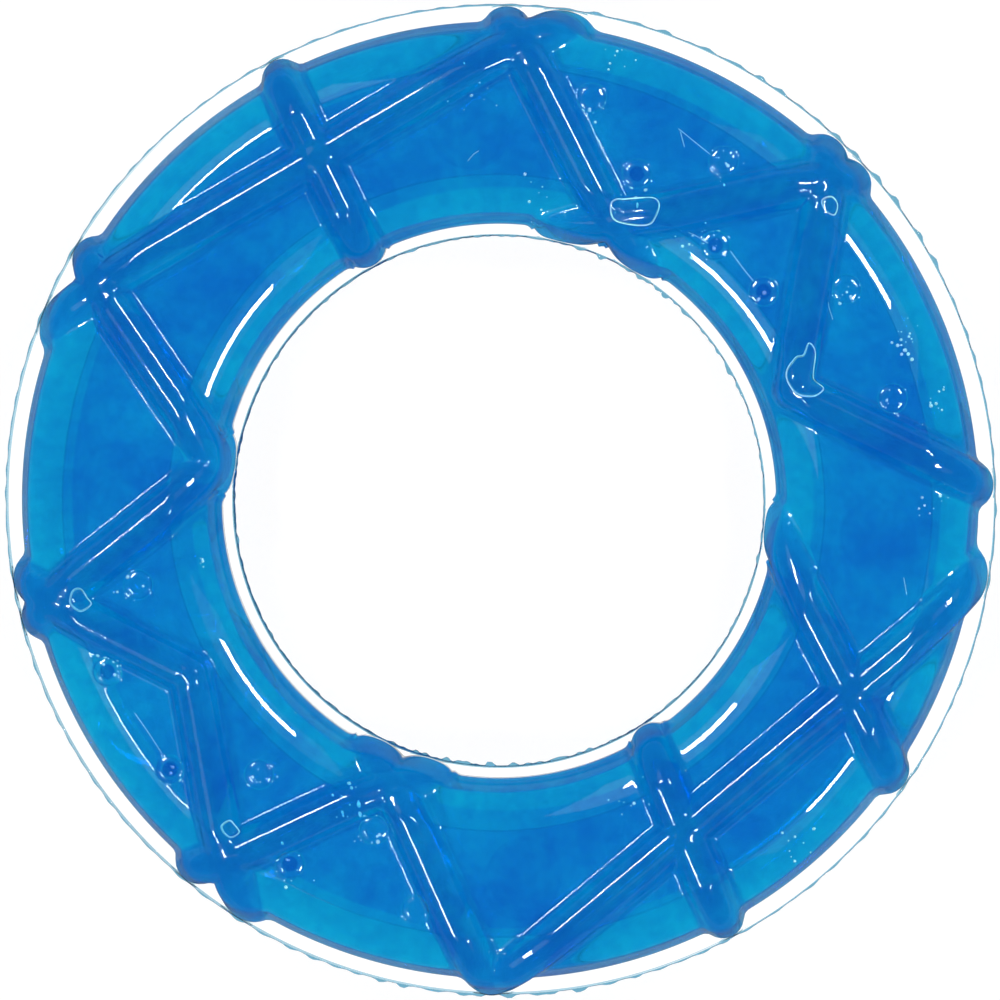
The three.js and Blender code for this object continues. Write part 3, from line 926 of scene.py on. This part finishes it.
cloud_terms = {"Vector": place, "Scale": 55.0, "Detail": 6.0, "Roughness": 0.6}
clouds = add_fed(tint, "ShaderNodeTexNoise", cloud_terms)
cloud = ramp(tint, clouds.outputs["Fac"], 0.36, 0.64)
cloud = calc(tint, "MULTIPLY", cloud, ramp(tint, panel, 0.0, 1.0, CLOUD_OFF_PANEL))
shaded = darken(shaded, calc(tint, "MULTIPLY", cloud, tint_in["Cloud"]), CLOUD_SHADE)
# Painted shade on the rib flanks, deepest halfway up each rib.
flank_shade = calc(tint, "MULTIPLY", rib, off_rib)
shaded = darken(shaded, calc(tint, "MULTIPLY", flank_shade, FLANK_GAIN, clamp=True), FLANK_PAINTED_SHADE)
grain = add_fed(tint, "ShaderNodeTexNoise", {"Vector": place, "Scale": 420.0, "Detail": 4.0})
shaded = darken(shaded, ramp(tint, grain.outputs["Fac"], 0.42, 0.62), MOTTLE_SHADE)
print("with clouds, flanks and mottle:", len(tint.nodes), "nodes")

# %% [markdown]
# Some marks belong to single places. Painted shade draws a thin dark line along the crease at
# each edge of the panels. Six pips look dark in the middle, and all have a pale outline. Four
# faint round marks, such as the pins leave that push a moulding out of its mould, lie under the
# panels. Painted shade makes the walls deeper blue towards their feet. Crease shade, dots and
# outlines are on the upper side only.

# %% Liquid tint: marks
DARK_PIPS = [PIPS[i] for i in (1, 3, 4, 8, 9, 11)]
PIN_MARKS = [(56.0, 94.4), (58.4, 177.0), (57.1, 273.8), (57.5, 355.0)]
WALL_FEET = ((70.8, 71.3), (43.4, 42.9))
CREASE_PAINTED_SHADE, DOT_SHADE, WALL_FOOT_PAINTED_SHADE = (0.0, 0.0, 0.4), (0.4, 0.42, 0.78), (0.55, 0.62, 0.86)
PIN_SHADE, PIN_EDGE_SHADE = (0.97, 0.94, 0.98), (0.94, 0.88, 0.97)

def near_any(places, full, none):
    total = None
    for place_radius, degrees in places:
        centre = (*(plan(place_radius, degrees) * MM), 0.0)
        away = add_fed(tint, "ShaderNodeVectorMath", {0: flat, 1: centre}, operation="DISTANCE")
        close = ramp(tint, away.outputs["Value"], none * MM, full * MM)
        total = close if total is None else calc(tint, "MAXIMUM", total, close)
    return total

height = add_fed(tint, "ShaderNodeSeparateXYZ", {"Vector": place}).outputs["Z"]
on_top = calc(tint, "GREATER_THAN", height, WELD_Z * MM)
# Painted shade: a thin dark line along the crease at each edge of the panels, off the ribs.
crease_shade = calc(tint, "MULTIPLY", panel, calc(tint, "SUBTRACT", 1.0, panel))
crease_shade = calc(tint, "MULTIPLY", crease_shade, off_rib)
shaded = darken(shaded, calc(tint, "MULTIPLY", crease_shade, on_top), CREASE_PAINTED_SHADE)
dots = calc(tint, "MULTIPLY", near_any(DARK_PIPS, full=1.0, none=1.25), on_top)
shaded = darken(shaded, dots, DOT_SHADE)
disc = near_any(PIPS, full=2.14, none=2.30)
outline = calc(tint, "SUBTRACT", disc, near_any(PIPS, full=1.90, none=2.06))
shaded = mixed(tint, calc(tint, "MULTIPLY", outline, on_top), shaded, WHITE)
pins = near_any(PIN_MARKS, full=5.35, none=5.55)
shaded = darken(shaded, pins, PIN_SHADE)
pin_edges = calc(tint, "SUBTRACT", near_any(PIN_MARKS, full=5.65, none=5.8), pins)
shaded = darken(shaded, pin_edges, PIN_EDGE_SHADE)
# Painted shade: the steep walls deeper blue towards their feet at the flange.
for low, high in WALL_FEET:
    foot = calc(tint, "MULTIPLY", ramp(tint, radius, low * MM, high * MM), off_rib)
    shaded = darken(shaded, foot, WALL_FOOT_PAINTED_SHADE)
feed(tint, tint_out["Color"], shaded)
print("with marks:", len(tint.nodes), "nodes")

# %% [markdown]
# ## The blue liquid
# Red is lost first on the way through the liquid, then green, which Volume Absorption gives. The
# liquid's surface touches the lining, so it bends no light of its own.

# %% Blue liquid
LIQUID_BLUE, LIQUID_DENSITY = (0.912, 0.987, 0.9942, 1.0), 5000.0
liquid_look, tree, liquid_shader = clear_material("blue_cooling_liquid", NO_BEND, roughness=0.0)
colour = add(tree, "ShaderNodeGroup", node_tree=tint)
feed(tree, liquid_shader.inputs["Base Color"], colour.outputs["Color"])
blue = {"Color": LIQUID_BLUE, "Density": LIQUID_DENSITY}
depth = add_fed(tree, "ShaderNodeVolumeAbsorption", blue)
feed(tree, tree.nodes["Material Output"].inputs["Volume"], depth.outputs["Volume"])
print("liquid absorbs at density", LIQUID_DENSITY)

# %% [markdown]
# ## Pieces, nodes and slots
# Each mesh rides on the part's one body and replaces its CAD node, and the table lists the slot
# whose look it shows. A shell has five looks: its skin, its lining, the fused underside of the
# flange, the flat of the flange and the flange's round edge. They could be five meshes, but one
# closed mesh with a material for each face keeps the shell a single solid.

# %% Give each piece its body, node and materials
for piece, node, slot in (
    (upper_shell, "upper_shell", "clear_shell"),
    (lower_shell, "lower_shell", "clear_shell"),
    (fluid, "cooling_fluid", "blue_fluid"),
    (outer_seam, "outer_weld_seam", "weld"),
    (inner_seam, "inner_weld_seam", "weld"),
    (air, None, "blue_fluid"),
):
    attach(piece, "root")
    if node:
        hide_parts(node)
for piece, looks, face_looks in (
    (upper_shell, (shell_look, lining_look, fused_look, flange_look, rim_look), sides),
    (lower_shell, (under_look, fused_look, fused_look, flange_look, rim_look), sides),
    (fluid, (liquid_look,), None),
    (outer_seam, (weld_look, fused_look), None),
    (inner_seam, (weld_look, fused_look), None),
    (air, (air_look, froth_look), air_sides),
):
    if face_looks is not None:
        # The boolean leaves an empty slot. Clearing it also resets the face numbers, set again below.
        piece.data.materials.clear()
    for look in looks:
        piece.data.materials.append(look)
    if face_looks is not None:
        piece.data.polygons.foreach_set("material_index", face_looks)
    print(piece.name, [look.name for look in looks])

# %% [markdown]
# ## The floor
# The toy lies on white. The floor glows for rays that the camera sees, straight or through the
# clear plastic, and a little lamp light on it keeps the shadow. Rays that were mirrored on the way
# see far less of it, or the clear faces would mirror it as pale streaks.

# %% Floor
FLOOR_HALF, FLOOR_Z = 3, -0.0003
FLOOR_MATT, FLOOR_GLOW = (0.12, 0.12, 0.12, 1.0), (0.92, 0.92, 0.92, 1.0)

def seen_level(tree, direct, through, reflected, turned_back):
    path = add(tree, "ShaderNodeLightPath").outputs
    seen = calc(tree, "MULTIPLY", path["Is Camera Ray"], direct)
    straight = calc(tree, "MULTIPLY_ADD", path["Is Transmission Ray"], through, seen)
    bounced = calc(tree, "GREATER_THAN", path["Glossy Depth"], 0.5)
    within = calc(tree, "GREATER_THAN", path["Transmission Depth"], 0.5)
    mirrored = ramp(tree, within, 0.0, 1.0, reflected, turned_back)
    fed = {"Factor": bounced, "A": straight, "B": mirrored}
    return add_fed(tree, "ShaderNodeMix", fed, data_type="FLOAT").outputs["Result"]

floor_mesh = bpy.data.meshes.new("floor")
floor_corners = [(x * FLOOR_HALF, y * FLOOR_HALF, 0) for x, y in ((-1, -1), (1, -1), (1, 1), (-1, 1))]
floor_mesh.from_pydata(floor_corners, [], [(0, 1, 2, 3)])
floor = bpy.data.objects.new("floor", floor_mesh)
floor.location.z = FLOOR_Z
bpy.context.scene.collection.objects.link(floor)
white = bpy.data.materials.new("white_floor")
white.use_nodes = True
tree = white.node_tree
tree.nodes.remove(tree.nodes["Principled BSDF"])
matt = add_fed(tree, "ShaderNodeBsdfDiffuse", {"Color": FLOOR_MATT})
floor_level = seen_level(tree, direct=1.0, through=1.087, reflected=0.03, turned_back=0.10)
glow = add_fed(tree, "ShaderNodeEmission", {"Color": FLOOR_GLOW, "Strength": floor_level})
both = add_fed(tree, "ShaderNodeAddShader", {0: matt.outputs["BSDF"], 1: glow.outputs["Emission"]})
feed(tree, tree.nodes["Material Output"].inputs["Surface"], both.outputs["Shader"])
floor_mesh.materials.append(white)
print("floor", 2 * FLOOR_HALF, "m wide")

# %% [markdown]
# ## The studio around the toy
# The studio is dim, so that the plastic reflects little apart from the lamps, with a paler band at
# the horizon for the far edge of the table. The camera itself sees white.

# %% World
BAND_TOP, BAND_FULL, BAND_LEVEL = 0.16, 0.03, 0.35
world = bpy.data.worlds.new("studio")
bpy.context.scene.world = world
world.use_nodes = True
tree = world.node_tree
dim = tree.nodes["Background"]
feed_all(tree, dim, {"Color": (0.06, 0.065, 0.07, 1.0), "Strength": 1.0})
bright = add_fed(tree, "ShaderNodeBackground", {"Color": WHITE})
sky = add(tree, "ShaderNodeTexCoord").outputs["Generated"]
upward = add_fed(tree, "ShaderNodeSeparateXYZ", {"Vector": sky}).outputs["Z"]
band = ramp(tree, upward, BAND_TOP, BAND_FULL, 0.0, BAND_LEVEL)
world_level = seen_level(tree, direct=1.0, through=1.0, reflected=0.02, turned_back=0.5)
share = calc(tree, "MAXIMUM", world_level, band)
shaders = {0: share, 1: dim.outputs["Background"], 2: bright.outputs["Background"]}
pick_seen = add_fed(tree, "ShaderNodeMixShader", shaders)
feed(tree, tree.nodes["World Output"].inputs["Surface"], pick_seen.outputs["Shader"])
print("world", world.name)

# %% [markdown]
# ## Softboxes
# Four softboxes stand around the ring, 33 degrees off the vertical, and draw the white lines along
# the ribs. Each is a narrow area lamp with a larger, faint one behind it, as the cloth of a real
# softbox falls off towards its edge: the narrow lamp draws the crisp lines, and the glow gives the
# ribs their soft sheen, a little more of it on the left.

# %% Softboxes
SOFTBOX_TURNS = {"softbox_a": 38, "softbox_b": 134, "softbox_c": 217, "softbox_d": 322}
SOFTBOX_TILT = 33
LAMP_FAR, LAMP_SIZE, LAMP_POWER = 0.9, (0.055, 0.22), 2.2
GLOW_FAR, GLOW_SIZE, GLOW_LEFT, GLOW_RIGHT = 0.95, (0.30, 0.42), 0.3, 0.12

def softbox(name, azimuth, distance, size, power):
    lamp = bpy.data.lights.new(name, "AREA")
    lamp.shape = "RECTANGLE"
    lamp.size, lamp.size_y = size
    lamp.energy = power
    box = bpy.data.objects.new(name, lamp)
    a, t = math.radians(azimuth), math.radians(SOFTBOX_TILT)
    aside = distance * math.sin(t)
    box.location = (aside * math.cos(a), aside * math.sin(a), distance * math.cos(t))
    box.rotation_euler = (0.0, t, a)
    bpy.context.scene.collection.objects.link(box)

for name, azimuth in SOFTBOX_TURNS.items():
    softbox(name, azimuth, LAMP_FAR, LAMP_SIZE, LAMP_POWER)
    softbox(name + "_glow", azimuth, GLOW_FAR, GLOW_SIZE, GLOW_LEFT if 90 < azimuth < 270 else GLOW_RIGHT)
print("softboxes", len(SOFTBOX_TURNS), "each with a faint glow around it")

# %% [markdown]
# ## Camera
# The photograph looks straight down, with the picture's top towards +Y, from a little right of
# and above the middle: the crests lean left and down against the rim. So the camera hangs a few
# centimetres to that side and turns by under 4 degrees to look at the middle of the ring. Lens
# shift could do that too, but it would push the ring aside in every other view.
# A long lens at 0.9 m keeps the crests only about 1 percent larger than the rim.

# %% Camera
SENSOR = 36.0
# Seen from one side, a circle's nearer half looks larger, so its middle is just beside this point.
AIM = (0.2, 0.17)
camera_data = bpy.data.cameras.new("camera")
camera = bpy.data.objects.new("camera", camera_data)
bpy.context.scene.collection.objects.link(camera)
camera.location = (CAMERA_SIDE[0] * MM, CAMERA_SIDE[1] * MM, (CAMERA_HEIGHT + WELD_Z) * MM)
back = np.array([CAMERA_SIDE[0] - AIM[0], CAMERA_SIDE[1] - AIM[1], CAMERA_HEIGHT])
back = back / np.linalg.norm(back)
right = np.cross([0.0, 1.0, 0.0], back)
right = right / np.linalg.norm(right)
turned = mathutils.Matrix([list(column) for column in zip(right, np.cross(back, right), back)])
camera.rotation_euler = turned.to_euler()
camera_data.sensor_width = SENSOR
camera_data.lens = SENSOR * math.hypot(CAMERA_HEIGHT, *CAMERA_SIDE) / VIEW_WIDTH
bpy.context.scene.camera = camera
bpy.context.scene.view_settings.view_transform = "Standard"
print("lens", round(camera_data.lens, 1), "mm")

# %% [markdown]
# Light crosses many clear faces here, so a path may bend more often than the usual 12 times.

# %% Paths of light
MOST_BENDS, MOST_MIRRORS = 32, 16
bpy.context.scene.cycles.max_bounces = MOST_BENDS
bpy.context.scene.cycles.transmission_bounces = MOST_BENDS
bpy.context.scene.cycles.glossy_bounces = MOST_MIRRORS
print("a path may bend", MOST_BENDS, "times")
